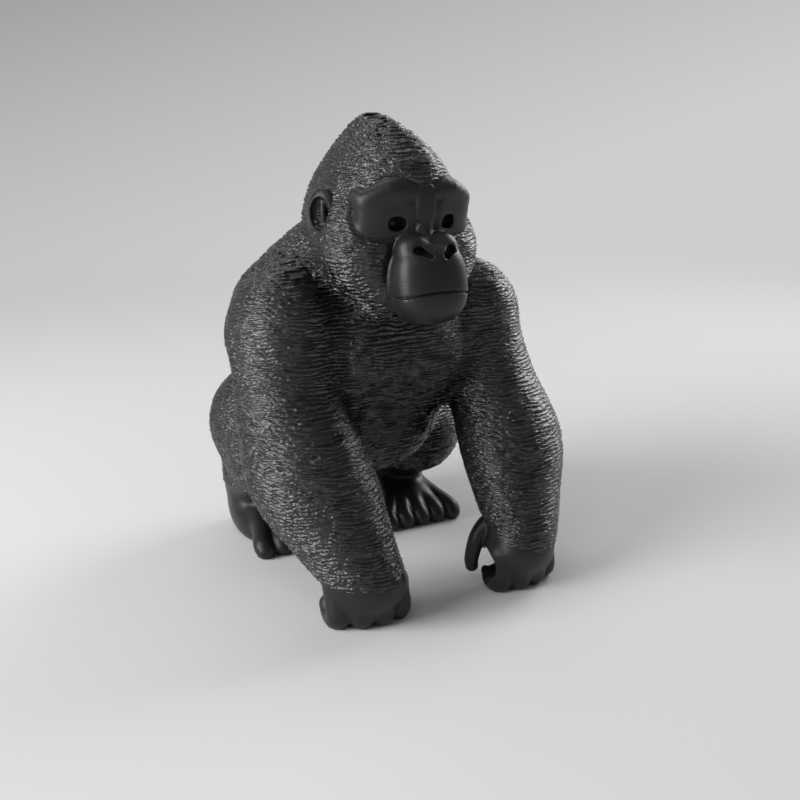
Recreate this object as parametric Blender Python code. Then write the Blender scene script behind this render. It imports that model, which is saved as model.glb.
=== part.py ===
"""A standing gorilla figurine, printed in one piece in black plastic.

The figure faces -Y, stands on its knuckles and soles at Z = 0 and is the same on both sides of X = 0.
It is shaped like clay: rounded masses are blended into one another, and hollows are pressed out of
them. The clay is a signed distance, sampled on a grid, and the skin is drawn where it is zero.
"""
import itertools

import bpy
import numpy as np

# Driving dimensions, in metres. Y runs from the front (-) to the back (+), and X is half a spread.
CREST_HEIGHT = 0.150
FRAME_SHIFT = 0.0088

SKULL_CENTRE_Y = 0.0002
SKULL_HEIGHT = 0.1185
SKULL_HALF_WIDTH = 0.0220
SKULL_HALF_DEPTH = 0.0275
SKULL_HALF_HEIGHT = 0.0250
CREST_RADIUS = 0.0080
CREST_Y = 0.0045

BROW_HEIGHT = 0.1270

EYE_SPREAD = 0.0084
EYE_HEIGHT = 0.1183
EYE_Y = -0.0236
EYE_RADIUS = 0.0028

MUZZLE_HEIGHT = 0.1005
MUZZLE_Y = -0.0290
MUZZLE_HALF_WIDTH = 0.0121
MUZZLE_HALF_DEPTH = 0.0096
MUZZLE_HALF_HEIGHT = 0.0130
MOUTH_HEIGHT = 0.0990
MOUTH_DROOP = 0.0022

EAR_SPREAD = 0.0229
EAR_Y = -0.0040
EAR_HEIGHT = 0.1203
EAR_HALF_WIDTH = 0.0056
EAR_HALF_HEIGHT = 0.0078

CHEST_HEIGHT = 0.0780
CHEST_Y = 0.0130
CHEST_HALF_WIDTH = 0.0350
CHEST_HALF_DEPTH = 0.0320
BELLY_HEIGHT = 0.0520
BELLY_Y = 0.0240
BELLY_HALF_WIDTH = 0.0300
BELLY_HALF_DEPTH = 0.0350
BELLY_HALF_HEIGHT = 0.0265
RUMP_HEIGHT = 0.0440
RUMP_Y = 0.0460

ARM_SPREAD = 0.0380
SHOULDER_HEIGHT = 0.0843
SHOULDER_Y = 0.0038
SHOULDER_RADIUS = 0.0171
UPPER_ARM_RADIUS = 0.0145
ELBOW_HEIGHT = 0.0420
ELBOW_Y = -0.0225
ELBOW_RADIUS = 0.0165
FOREARM_RADIUS = 0.0139
WRIST_HEIGHT = 0.0190
WRIST_Y = -0.0400
WRIST_SPREAD = 0.0306
WRIST_RADIUS = 0.0111

HAND_SPREAD = 0.0285
HAND_Y = -0.0405
FINGER_COUNT = 4
FINGER_PITCH = 0.0063
FINGER_RADIUS = 0.0040
KNUCKLE_Y = -0.0462
THUMB_RADIUS = 0.0022

HIP_SPREAD = 0.0270
HIP_HEIGHT = 0.0422
HIP_Y = 0.0390
HIP_RADIUS = 0.0198
KNEE_SPREAD = 0.0290
KNEE_HEIGHT = 0.0370
KNEE_Y = 0.0255
KNEE_RADIUS = 0.0155
HEEL_SPREAD = 0.0290
HEEL_Y = 0.0510
HEEL_RADIUS = 0.0078
TOE_COUNT = 5
TOE_PITCH = 0.0066
TOE_RADIUS = 0.0034
TOE_SPREAD = 0.0250
TOE_Y = 0.0132

SOLE_TRIM = 0.0008
GROUND_SIZE = 0.2
GRID_STEP = 0.0009
TRIANGLE_SHARE = 0.052
COLOUR = (0.030, 0.032, 0.034, 1.0)
ROUGHNESS = 0.45


class Shape:
    """A rounded mass: a signed distance with the box that holds it."""

    def __init__(self, low, high, distance):
        self.low = np.array(low)
        self.high = np.array(high)
        self.distance = distance


def blob(centre, radii, turn=0.0, lean=0.0, box=2.0):
    """A rounded mass, leant about X and turned about Z: an ellipsoid, or nearer a box above 2.

    With s = (|x/a|^box + |y/b|^box + |z/c|^box)^(1/box), the distance is (s - 1) / |gradient of s|.
    """
    centre = np.array(centre)
    radii = np.array(radii)
    reach = radii.max() * 1.2 if turn or lean else radii
    cos_turn, sin_turn = np.cos(turn), np.sin(turn)
    cos_lean, sin_lean = np.cos(lean), np.sin(lean)

    def distance(x, y, z):
        x = x - centre[0]
        y = y - centre[1]
        z = z - centre[2]
        x, y = cos_turn * x + sin_turn * y, cos_turn * y - sin_turn * x
        y, z = cos_lean * y + sin_lean * z, cos_lean * z - sin_lean * y
        parts = [np.abs(value) / radius for value, radius in zip((x, y, z), radii)]
        size = sum(part ** box for part in parts) ** (1.0 / box) + 1e-9
        slope = np.sqrt(sum((part ** (box - 1) / radius) ** 2 for part, radius in zip(parts, radii)))
        return (size - 1.0) * size ** (box - 1) / np.maximum(slope, 1e-9)

    return Shape(centre - reach, centre + reach, distance)


def smooth_curve(points, per_span=5):
    """Points along a Catmull-Rom curve through the given ones, the last column being a radius."""
    points = np.array(points)
    padded = np.vstack([2 * points[0] - points[1], points, 2 * points[-1] - points[-2]])
    t = np.linspace(0.0, 1.0, per_span, endpoint=False)[:, None]
    spans = []
    for a, b, c, d in zip(padded[:-3], padded[1:-2], padded[2:-1], padded[3:]):
        spans.append(0.5 * (2 * b + (c - a) * t + (2 * a - 5 * b + 4 * c - d) * t ** 2
                            + (3 * b - a - 3 * c + d) * t ** 3))
    return np.vstack(spans + [points[-1:]])


def limb(points, flat=(1.0, 1.0, 1.0), turn=0.0, per_span=5):
    """Round cones along a smooth curve; each point is x, y, z and the radius there.

    The distance to one cone is |p - c(t)| - r(t), with t the nearest place on its axis. Space is
    turned about Z and stretched by flat first, so that a limb can be wider one way than the other.
    """
    stretch = 1.0 / np.array(flat)
    cos_turn, sin_turn = np.cos(turn), np.sin(turn)
    curve = smooth_curve(points, per_span)
    turned = np.array([[cos_turn, sin_turn, 0], [-sin_turn, cos_turn, 0], [0, 0, 1]])
    centres = curve[:, :3] @ turned.T * stretch
    radii = curve[:, 3]
    shrink = min(flat)

    def distance(x, y, z):
        x, y = cos_turn * x + sin_turn * y, cos_turn * y - sin_turn * x
        x, y, z = x * stretch[0], y * stretch[1], z * stretch[2]
        best = None
        for a, b, ra, rb in zip(centres[:-1], centres[1:], radii[:-1], radii[1:]):
            axis = b - a
            t = ((x - a[0]) * axis[0] + (y - a[1]) * axis[1] + (z - a[2]) * axis[2]) / (axis @ axis)
            t = np.clip(t, 0.0, 1.0)
            gap = np.sqrt((x - a[0] - t * axis[0]) ** 2 + (y - a[1] - t * axis[1]) ** 2
                          + (z - a[2] - t * axis[2]) ** 2) - (ra + t * (rb - ra))
            best = gap if best is None else np.minimum(best, gap)
        return best * shrink

    reach = radii[:, None] * max(flat)
    return Shape((curve[:, :3] - reach).min(axis=0), (curve[:, :3] + reach).max(axis=0), distance)


class Clay:
    """The figure's half x >= 0 as a signed distance, negative inside, on a regular grid."""

    FAR = 0.020
    SOFT_MIDDLE = 0.0005

    def __init__(self, low, high, step):
        self.step = np.array(step)
        self.axes = [np.arange(a, b, s) for a, b, s in zip(low, high, self.step)]
        self.field = np.full([len(axis) for axis in self.axes], self.FAR)

    def near(self, shape, soft):
        """The part of the grid that the shape can change, and its coordinates."""
        margin = 1.25 * soft + 0.006
        cut = []
        for axis, a, b in zip(self.axes, shape.low - margin, shape.high + margin):
            cut.append(slice(np.searchsorted(axis, a), np.searchsorted(axis, b)))
        x = np.sqrt(self.axes[0][cut[0]] ** 2 + self.SOFT_MIDDLE ** 2)[:, None, None]
        y = self.axes[1][cut[1]][None, :, None]
        z = self.axes[2][cut[2]][None, None, :]
        return tuple(cut), shape.distance(x, y, z)

    def add(self, shape, soft):
        """Smooth union: min(a, b) - h^2 soft / 4, where h is how far a and b are from equal."""
        cut, new = self.near(shape, soft)
        old = self.field[cut]
        h = np.maximum(soft - np.abs(old - new), 0.0) / soft
        self.field[cut] = np.minimum(old, new) - h * h * soft / 4

    def press(self, shape, soft):
        """Smooth cut, the union's mirror image: max(a, -b) + h^2 soft / 4."""
        cut, new = self.near(shape, soft)
        old = self.field[cut]
        h = np.maximum(soft - np.abs(old + new), 0.0) / soft
        self.field[cut] = np.maximum(old, -new) + h * h * soft / 4

    def engrave(self, shape, depth, soft):
        """Sink the surface by a depth inside a shape: max(f, min(-shape, f + depth)), eased."""
        cut, new = self.near(shape, soft)
        old = self.field[cut]
        sunk = -self.ease(new, -old - depth, soft)
        self.field[cut] = np.maximum(old, sunk)

    @staticmethod
    def ease(a, b, soft):
        """Smooth max(a, b)."""
        h = np.maximum(soft - np.abs(a - b), 0.0) / soft
        return np.maximum(a, b) + h * h * soft / 4

    def stand(self, soft):
        """End the clay a little below z = 0, where the ground is cut off."""
        self.field = self.ease(self.field, -SOLE_TRIM - self.axes[2][None, None, :], soft)


def shape_torso(clay):
    """Chest, back, belly and rump."""
    clay.add(blob((0, CHEST_Y, CHEST_HEIGHT), (CHEST_HALF_WIDTH, CHEST_HALF_DEPTH, 0.0290)), 0.004)
    clay.add(blob((0, BELLY_Y, BELLY_HEIGHT),
                  (BELLY_HALF_WIDTH, BELLY_HALF_DEPTH, BELLY_HALF_HEIGHT)), 0.010)
    clay.add(blob((0, RUMP_Y, RUMP_HEIGHT), (0.0300, 0.0250, 0.0270)), 0.014)
    clay.add(blob((0.0130, -0.0020, 0.0730), (0.0170, 0.0170, 0.0160)), 0.008)
    clay.add(limb([(0, 0.0145, 0.1150, 0.0198), (0, 0.0170, 0.103, 0.0215),
                   (0.010, 0.021, 0.090, 0.025)]), 0.008)


def shape_arm(clay):
    """Shoulder, upper arm, elbow, forearm and wrist along one bent centre line."""
    clay.add(blob((ARM_SPREAD - 0.0035, SHOULDER_Y, SHOULDER_HEIGHT),
                  (SHOULDER_RADIUS, 0.0200, 0.0175)), 0.008)
    clay.add(blob((0.0270, 0.0185, 0.0880), (0.0172, 0.0190, 0.0156)), 0.006)
    clay.add(limb([(ARM_SPREAD - 0.002, 0.0010, 0.0800, UPPER_ARM_RADIUS * 0.95),
                   (ARM_SPREAD - 0.0015, -0.0040, 0.0700, UPPER_ARM_RADIUS),
                   (ARM_SPREAD - 0.0003, -0.0108, 0.0570, 0.0148),
                   (ARM_SPREAD - 0.0007, ELBOW_Y, ELBOW_HEIGHT, ELBOW_RADIUS),
                   (0.0340, -0.0315, 0.0300, FOREARM_RADIUS),
                   (WRIST_SPREAD, WRIST_Y, WRIST_HEIGHT, WRIST_RADIUS),
                   (0.0286, -0.0425, 0.0130, 0.0104)], flat=(1.18, 1.0, 1.0), turn=0.506), 0.005)


def shape_hand(clay):
    """A fist on its knuckles: palm block, four bent fingers, a thumb and the hollow between them."""
    clay.add(blob((HAND_SPREAD - 0.0008, HAND_Y, 0.0100), (0.0121, 0.0080, 0.0110)), 0.004)
    first = HAND_SPREAD - 0.5 * (FINGER_COUNT - 1) * FINGER_PITCH
    for number in range(FINGER_COUNT):
        x = first + number * FINGER_PITCH
        back = 0.0042 * ((number - 1.1) / 1.9) ** 2
        clay.add(limb([(x, KNUCKLE_Y + back + 0.0015, 0.0120, FINGER_RADIUS),
                       (x, KNUCKLE_Y + back, 0.0040, FINGER_RADIUS),
                       (x, KNUCKLE_Y + back + 0.0042, 0.0026, FINGER_RADIUS * 0.85),
                       (x, KNUCKLE_Y + back + 0.0070, 0.0050, FINGER_RADIUS * 0.75)]), 0.0010)
    clay.press(limb([(0.0100, -0.0402, 0.0080, 0.0062), (0.0180, -0.0402, 0.0080, 0.0058),
                     (0.0290, -0.0395, 0.0076, 0.0040)]), 0.0008)
    clay.press(limb([(0.0200, -0.0385, 0.0088, 0.0034), (0.0275, -0.0250, 0.0065, 0.0034)]), 0.0008)
    clay.add(limb([(0.0225, -0.0345, 0.0200, 0.0042), (0.0165, -0.0350, 0.0160, 0.0029),
                   (0.0138, -0.0355, 0.0095, 0.0024), (0.0142, -0.0350, 0.0062, THUMB_RADIUS)]), 0.0010)


def shape_leg(clay):
    """Thigh, bent knee, calf and heel."""
    clay.add(blob((HIP_SPREAD, HIP_Y, HIP_HEIGHT), (HIP_RADIUS, 0.0225, 0.0210)), 0.008)
    clay.add(limb([(0.0250, 0.0400, 0.0420, 0.0180),
                   (KNEE_SPREAD, KNEE_Y, KNEE_HEIGHT, KNEE_RADIUS)]), 0.006)
    clay.add(limb([(KNEE_SPREAD, 0.0300, 0.0310, 0.0145), (0.0290, 0.0440, 0.0190, 0.0105),
                   (HEEL_SPREAD, 0.0460, 0.0100, 0.0100)]), 0.005)
    clay.add(blob((0.0280, 0.0510, 0.0230), (0.0105, 0.0120, 0.0150)), 0.009)


def shape_foot(clay):
    """A flat foot with long toes."""
    clay.add(blob((HEEL_SPREAD, HEEL_Y, 0.0065), (HEEL_RADIUS, HEEL_RADIUS, 0.0085)), 0.005)
    clay.add(blob((0.0270, 0.0370, 0.0050), (0.0135, 0.0170, 0.0080)), 0.005)
    first = TOE_SPREAD - 0.5 * (TOE_COUNT - 1) * TOE_PITCH
    for number in range(TOE_COUNT):
        x = first + number * TOE_PITCH
        root = HEEL_SPREAD + 0.40 * (x - HEEL_SPREAD)
        clay.add(limb([(root, 0.0400, 0.0102, 0.0036), (0.5 * (x + root), 0.0270, 0.0069, 0.0034),
                       (x, TOE_Y + 0.0055, 0.0042, TOE_RADIUS),
                       (x, TOE_Y + 0.0032, 0.0026, TOE_RADIUS * 0.96)]), 0.0012)


def shape_head(clay):
    """Skull with its pointed crest, and the jowls."""
    clay.add(blob((0, SKULL_CENTRE_Y, SKULL_HEIGHT),
                  (SKULL_HALF_WIDTH, SKULL_HALF_DEPTH, SKULL_HALF_HEIGHT)), 0.006)
    top = CREST_HEIGHT - CREST_RADIUS - 0.0002
    clay.add(limb([(0, -0.0152, BROW_HEIGHT + 0.0005, 0.0122), (0, CREST_Y, top, CREST_RADIUS),
                   (0, 0.0100, top - 0.0058, 0.0105), (0, 0.0160, top - 0.0148, 0.0120)]), 0.008)
    clay.add(limb([(0.0120, 0.0000, 0.1170, 0.0115), (0.0129, -0.0107, 0.1088, 0.0137),
                   (0.0080, -0.0160, 0.1010, 0.0110)]), 0.006)
    clay.add(blob((0, -0.0160, 0.0985), (0.0120, 0.0110, 0.0095)), 0.006)


def shape_ear(clay):
    """A rim standing out at the back, with a hollow and an upright fold in it."""
    lean_out = -0.55
    clay.add(blob((EAR_SPREAD, EAR_Y, EAR_HEIGHT), (0.0030, EAR_HALF_WIDTH, EAR_HALF_HEIGHT),
                  turn=lean_out), 0.0012)
    clay.press(blob((EAR_SPREAD + 0.0018, EAR_Y - 0.0012, EAR_HEIGHT - 0.0003),
                    (0.0027, 0.0033, 0.0049), turn=lean_out), 0.0006)
    clay.add(limb([(EAR_SPREAD, EAR_Y, EAR_HEIGHT + 0.0025, 0.0009),
                   (EAR_SPREAD + 0.0004, EAR_Y - 0.0010, EAR_HEIGHT, 0.0010),
                   (EAR_SPREAD, EAR_Y - 0.0012, EAR_HEIGHT - 0.0030, 0.0009)]), 0.0008)


def shape_face(clay):
    """Brow ridges, eye sockets, nose, nostrils, muzzle and mouth."""
    clay.add(blob((0.0093, -0.0208, BROW_HEIGHT - 0.0070), (0.0101, 0.0052, 0.0092), turn=0.27, lean=0.20,
                  box=2.7), 0.0012)
    clay.add(limb([(0.0034, -0.0250, BROW_HEIGHT + 0.0003, 0.0030),
                   (0.0100, -0.0240, BROW_HEIGHT + 0.0009, 0.0034),
                   (0.0166, -0.0207, BROW_HEIGHT - 0.0018, 0.0026),
                   (0.0178, -0.0170, BROW_HEIGHT - 0.0008, 0.0026)]), 0.0012)
    clay.engrave(brow_notch(), 0.0012, 0.0008)
    clay.press(blob((EYE_SPREAD, EYE_Y - 0.0010, EYE_HEIGHT), (EYE_RADIUS, 0.0030, EYE_RADIUS * 0.88),
                    box=2.6), 0.0006)
    clay.add(blob((0, MUZZLE_Y, MUZZLE_HEIGHT), (MUZZLE_HALF_WIDTH, MUZZLE_HALF_DEPTH, MUZZLE_HALF_HEIGHT),
                  lean=-0.22, box=2.6), 0.0015)
    clay.add(limb([(0, -0.0235, EYE_HEIGHT + 0.0037, 0.0024),
                   (0, -0.0270, MUZZLE_HEIGHT + 0.0135, 0.0026)]), 0.0015)
    clay.add(blob((0.0048, MUZZLE_Y + 0.0007, MUZZLE_HEIGHT + 0.0097), (0.0056, 0.0054, 0.0054)), 0.0010)
    clay.press(limb([(0.0027, MUZZLE_Y - 0.0055, MUZZLE_HEIGHT + 0.0079, 0.0017),
                     (0.0053, MUZZLE_Y - 0.0035, MUZZLE_HEIGHT + 0.0096, 0.0021)]), 0.0006)
    clay.engrave(mouth_line(), 0.0010, 0.0007)


def brow_notch():
    """The upright groove between the two brows."""
    return limb([(0, -0.0270, BROW_HEIGHT - 0.0020, 0.0009), (0, -0.0270, BROW_HEIGHT + 0.0060, 0.0013)])


def mouth_line():
    """A thin sheet along the lips: |z - height(x)| - half a width, cut off at the corners."""
    low = np.array((-0.002, MUZZLE_Y - 0.014, MOUTH_HEIGHT - 2 * MOUTH_DROOP))
    high = np.array((MUZZLE_HALF_WIDTH + 0.003, MUZZLE_Y + 0.004, MOUTH_HEIGHT + 0.002))

    def distance(x, y, z):
        height = MOUTH_HEIGHT - MOUTH_DROOP * (x / MUZZLE_HALF_WIDTH) ** 2
        return np.maximum(np.abs(z - height) - 0.0006, y - MUZZLE_Y)

    return Shape(low, high, distance)


def sculpt(step):
    """All the clay, from the trunk out to the small features."""
    top = max(CREST_HEIGHT, SKULL_HEIGHT + SKULL_HALF_HEIGHT, BROW_HEIGHT + 0.0150)
    clay = Clay((-2 * step, -0.062, -SOLE_TRIM - 1.5 * step), (0.062, 0.082, top + 0.004), (step,) * 3)
    shape_torso(clay)
    shape_arm(clay)
    shape_leg(clay)
    shape_head(clay)
    shape_face(clay)
    shape_ear(clay)
    shape_foot(clay)
    shape_hand(clay)
    clay.stand(0.0008)
    return clay


def filled_pinches(field):
    """Fill grid points until the clay nowhere meets itself at an edge or a corner only.

    On a square of four points that is so when one diagonal is inside and the other outside, and in a
    cube of eight when two opposite points differ from the other six.
    """
    field = field.copy()
    just_inside = -1e-6
    low, high = slice(None, -1), slice(1, None)
    while True:
        inside = field < 0
        fill = np.zeros_like(inside)
        for fixed in range(3):
            ends = [(low, high) if axis != fixed else (slice(None),) for axis in range(3)]
            square = [tuple(corner) for corner in itertools.product(*ends)]
            a, b, c, d = (inside[corner] for corner in square)
            fill[square[1]] |= a & d & ~b & ~c
            fill[square[0]] |= b & c & ~a & ~d
        cube = list(itertools.product((low, high), repeat=3))
        count = sum(inside[corner].astype(int) for corner in cube)
        for number in range(4):
            near, far = cube[number], cube[7 - number]
            fill[cube[(number + 1) % 4]] |= (count == 2) & inside[near] & inside[far]
            fill[near] |= (count == 6) & ~inside[near] & ~inside[far]
        fill &= ~inside
        if not fill.any():
            return field
        field[fill] = just_inside


def surface_net(field, origin, step):
    """One point in each cell that the surface crosses, and one square across each crossed edge.

    A point is the mean of the places where the cell's edges cross zero.
    """
    inside = field < 0
    cells = np.array(field.shape) - 1
    total = np.zeros(tuple(cells) + (3,))
    count = np.zeros(tuple(cells))
    corners = [(a, b, c) for a in (0, 1) for b in (0, 1) for c in (0, 1)]

    def corner(values, at):
        return values[at[0]:at[0] + cells[0], at[1]:at[1] + cells[1], at[2]:at[2] + cells[2]]

    for at in corners:
        for axis in range(3):
            if at[axis]:
                continue
            end = tuple(at[k] + (k == axis) for k in range(3))
            a, b = corner(field, at), corner(field, end)
            crossed = corner(inside, at) != corner(inside, end)
            share = np.where(crossed, a / np.where(a == b, 1.0, a - b), 0.0)
            count += crossed
            for k in range(3):
                total[..., k] += crossed * at[k] + (share if k == axis else 0.0)
    used = count > 0
    number = np.full(tuple(cells), -1)
    number[used] = np.arange(used.sum())
    places = np.argwhere(used) + total[used] / count[used][:, None]
    points = origin + places * step
    faces = []
    for axis in range(3):
        u, v = (axis + 1) % 3, (axis + 2) % 3
        a = np.moveaxis(inside, (axis, u, v), (0, 1, 2))
        n = np.moveaxis(number, (axis, u, v), (0, 1, 2))
        first, second = a[:-1, 1:-1, 1:-1], a[1:, 1:-1, 1:-1]
        ring = [n[:, :-1, :-1], n[:, 1:, :-1], n[:, 1:, 1:], n[:, :-1, 1:]]
        leaving = first & ~second
        entering = ~first & second
        faces.append(np.stack([r[leaving] for r in ring], axis=1))
        faces.append(np.stack([r[entering] for r in ring[::-1]], axis=1))
    return points, np.vstack(faces)


def mirrored(clay):
    """The field over both sides of x = 0, and its lowest corner."""
    half = clay.field[2:]
    return np.concatenate([half[:0:-1], half], axis=0), -clay.axes[0][-1]


def make_figure():
    """The figurine as one closed mesh, thinned where it is flat."""
    clay = sculpt(GRID_STEP)
    clay.field = filled_pinches(clay.field)
    field, low_x = mirrored(clay)
    origin = np.array((low_x, clay.axes[1][0] - FRAME_SHIFT, clay.axes[2][0]))
    points, faces = surface_net(field, origin, GRID_STEP)
    mesh = bpy.data.meshes.new("gorilla")
    mesh.from_pydata(points.tolist(), [], faces.tolist())
    mesh.shade_smooth()
    figure = bpy.data.objects.new("gorilla", mesh)
    bpy.context.scene.collection.objects.link(figure)
    thin = figure.modifiers.new("thin", "DECIMATE")
    thin.ratio = TRIANGLE_SHARE
    return figure


def cut_flat(figure):
    """Take off what is below z = 0, so that soles and knuckles stand flat."""
    bpy.ops.mesh.primitive_cube_add(size=1.0, location=(0.0, 0.0, -0.5 * GROUND_SIZE))
    ground = bpy.context.object
    ground.name = "ground_cutter"
    ground.scale = (GROUND_SIZE,) * 3
    ground.hide_render = True
    ground.display_type = "WIRE"
    cut = figure.modifiers.new("flat_soles", "BOOLEAN")
    cut.operation = "DIFFERENCE"
    cut.solver = "EXACT"
    cut.object = ground


def black_plastic():
    """Black filament with a satin sheen."""
    material = bpy.data.materials.new("black_plastic")
    material.use_nodes = True
    shader = material.node_tree.nodes["Principled BSDF"]
    shader.inputs["Base Color"].default_value = COLOUR
    shader.inputs["Roughness"].default_value = ROUGHNESS
    shader.inputs["Metallic"].default_value = 0.0
    material.diffuse_color = COLOUR
    return material


for old in list(bpy.data.objects):
    bpy.data.objects.remove(old)
gorilla = make_figure()
cut_flat(gorilla)
gorilla.data.materials.append(black_plastic())
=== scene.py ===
"""Looks for the gorilla figurine: carved fur, smooth skin, black printed plastic and a plain stage.

The figure is sculpted again on a finer grid than the source has, from the same rounded masses, and the
fur is carved into it as real relief. Each visible piece is a closed mesh. Where two pieces of fur meet,
one ends at a cut and the other dips a little under it, so that the seam doesn't show.
"""
import itertools
import math

import bpy
import numpy as np
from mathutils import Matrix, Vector


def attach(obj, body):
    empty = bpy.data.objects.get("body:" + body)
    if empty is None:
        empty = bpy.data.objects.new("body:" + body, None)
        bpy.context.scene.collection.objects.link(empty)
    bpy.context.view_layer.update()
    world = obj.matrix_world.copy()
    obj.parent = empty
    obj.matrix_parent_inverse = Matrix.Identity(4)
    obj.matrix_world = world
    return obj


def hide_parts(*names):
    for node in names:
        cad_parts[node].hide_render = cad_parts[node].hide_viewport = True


bl_info = {
    "name": "Gorilla figurine",
    "version": (1, 0, 0),
    "blender": (4, 5, 0),
    "location": "3D View > Sidebar > Figurine",
    "description": "Carves a standing gorilla figurine in black printed plastic",
    "category": "Object",
}

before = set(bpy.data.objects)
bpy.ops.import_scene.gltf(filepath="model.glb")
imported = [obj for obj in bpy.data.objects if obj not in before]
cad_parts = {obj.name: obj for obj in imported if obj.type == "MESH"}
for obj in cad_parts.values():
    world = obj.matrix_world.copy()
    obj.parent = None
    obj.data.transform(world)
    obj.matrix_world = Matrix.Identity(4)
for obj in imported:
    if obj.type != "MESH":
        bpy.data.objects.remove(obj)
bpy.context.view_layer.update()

# The body's landmarks, in metres, as in the part's source. Y is measured before the frame's shift.
FRAME_SHIFT = 0.0088
CREST_HEIGHT = 0.150
SKULL_HEIGHT = 0.1185
CREST_RADIUS = 0.0080
BROW_HEIGHT = 0.1270
EYE_SPREAD = 0.0084
EYE_HEIGHT = 0.1183
EYE_Y = -0.0236
EYE_RADIUS = 0.0028
EYEBALL_INSET = 0.0024
MUZZLE_HEIGHT = 0.1005
MUZZLE_Y = -0.0290
MUZZLE_HALF_WIDTH = 0.0121
MUZZLE_HALF_DEPTH = 0.0096
MUZZLE_HALF_HEIGHT = 0.0130
MOUTH_HEIGHT = 0.0990
MOUTH_DROOP = 0.0022
EAR_SPREAD = 0.0229
EAR_Y = -0.0040
EAR_HEIGHT = 0.1203
EAR_HALF_WIDTH = 0.0056
EAR_HALF_HEIGHT = 0.0078
EAR_TURN = -0.55
ARM_SPREAD = 0.0380
ELBOW_HEIGHT = 0.0420
ELBOW_Y = -0.0225
WRIST_HEIGHT = 0.0190
WRIST_Y = -0.0400
WRIST_SPREAD = 0.0306
HAND_SPREAD = 0.0285
HAND_Y = -0.0405
FINGER_COUNT = 4
FINGER_PITCH = 0.0063
FINGER_RADIUS = 0.0040
KNUCKLE_Y = -0.0462
HIP_SPREAD = 0.0270
KNEE_SPREAD = 0.0290
KNEE_HEIGHT = 0.0370
KNEE_Y = 0.0255
HEEL_SPREAD = 0.0290
HEEL_Y = 0.0510
TOE_COUNT = 5
TOE_PITCH = 0.0066
TOE_RADIUS = 0.0034
TOE_SPREAD = 0.0250
TOE_Y = 0.0132

ARM_SEAM = 0.0255
LEG_SEAM = 0.0160
SEAM_OVERLAP = 0.0016
SEAM_DIP = 0.00016

# At the edge of bare skin the fur rises over the fade, and under the skin it lies this deep.
BARE_FADE = 0.0014
BARE_SINK = 0.0006

# The crests of the fur wander by this many pitches, and their heights vary about a mean share.
CREST_WANDER = 0.75
CREST_MEAN = 0.8
CREST_SPREAD = 0.5

# Steps of the sculpt's grid along X, Y and Z, and the share of its triangles that is kept.
FUR_STEP = (0.0010, 0.00046, 0.00024)
SKIN_STEP = (0.00045, 0.00042, 0.00042)
FACE_STEP = (0.00032, 0.00032, 0.00030)
FUR_SHARE = 0.56
SKIN_SHARE = 0.30
COARSE = 3

# The photograph's camera: degrees to the figure's right and down, millimetres, and its place in metres.
CAMERA_TURN = 29.0
CAMERA_PITCH = 15.76
CAMERA_PLACE = (-0.16044, -0.30120 - FRAME_SHIFT, 0.15239)
LENS = 47.0
SENSOR_WIDTH = 36.0

# The sweep: its flat floor, the radius of its bend, its wall, half its width, and how much lies in front.
SWEEP_FLAT = 1.9
SWEEP_RADIUS = 0.9
SWEEP_WALL = 1.2
SWEEP_HALF_WIDTH = 3.0
SWEEP_IN_FRONT = 1.3
SWEEP_ROWS = 90

# Each lamp's place and the side of its square panel, in metres. All aim at one point.
LAMPS = {
    "left": ((-0.85, 0.00, 0.42), 0.60),
    "right": ((0.80, 0.24, 0.52), 0.50),
    "front": ((-0.44, -0.37, 0.90), 0.35),
    "top": ((0.10, 0.55, 0.95), 0.60),
}
LAMP_AIM = (0.0, 0.0, 0.07)


# ---- Clay: rounded masses as signed distances ----

class Shape:
    """A rounded mass: a signed distance with the box that holds it."""

    def __init__(self, low, high, distance):
        self.low = np.array(low)
        self.high = np.array(high)
        self.distance = distance


def blob(centre, radii, turn=0.0, lean=0.0, box=2.0):
    """A rounded mass, leant about X and turned about Z: an ellipsoid, or nearer a box above 2.

    With s = (|x/a|^box + |y/b|^box + |z/c|^box)^(1/box), the distance is (s - 1) / |gradient of s|.
    """
    centre = np.array(centre, dtype=np.float32)
    radii = np.array(radii, dtype=np.float32)
    reach = radii.max() * 1.2 if turn or lean else radii
    cos_turn, sin_turn = np.float32(math.cos(turn)), np.float32(math.sin(turn))
    cos_lean, sin_lean = np.float32(math.cos(lean)), np.float32(math.sin(lean))
    power = np.float32(box)

    def distance(x, y, z):
        x = x - centre[0]
        y = y - centre[1]
        z = z - centre[2]
        x, y = cos_turn * x + sin_turn * y, cos_turn * y - sin_turn * x
        y, z = cos_lean * y + sin_lean * z, cos_lean * z - sin_lean * y
        parts = [np.abs(value) / radius for value, radius in zip((x, y, z), radii)]
        if box == 2.0:
            size = np.sqrt(sum(part * part for part in parts)) + 1e-6
            slope = np.sqrt(sum((part / radius) ** 2 for part, radius in zip(parts, radii)))
            return (size - 1) * size / np.maximum(slope, 1e-6)
        size = sum(part ** power for part in parts) ** (1 / power) + 1e-6
        slope = np.sqrt(sum((part ** (power - 1) / radius) ** 2 for part, radius in zip(parts, radii)))
        return (size - 1) * size ** (power - 1) / np.maximum(slope, 1e-6)

    return Shape(centre - reach, centre + reach, distance)


def smooth_curve(points, per_span=4):
    """Points along a Catmull-Rom curve through the given ones, the last column being a radius."""
    points = np.array(points)
    padded = np.vstack([2 * points[0] - points[1], points, 2 * points[-1] - points[-2]])
    t = np.linspace(0.0, 1.0, per_span, endpoint=False)[:, None]
    spans = []
    for a, b, c, d in zip(padded[:-3], padded[1:-2], padded[2:-1], padded[3:]):
        spans.append(0.5 * (2 * b + (c - a) * t + (2 * a - 5 * b + 4 * c - d) * t ** 2
                            + (3 * b - a - 3 * c + d) * t ** 3))
    return np.vstack(spans + [points[-1:]])


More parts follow.
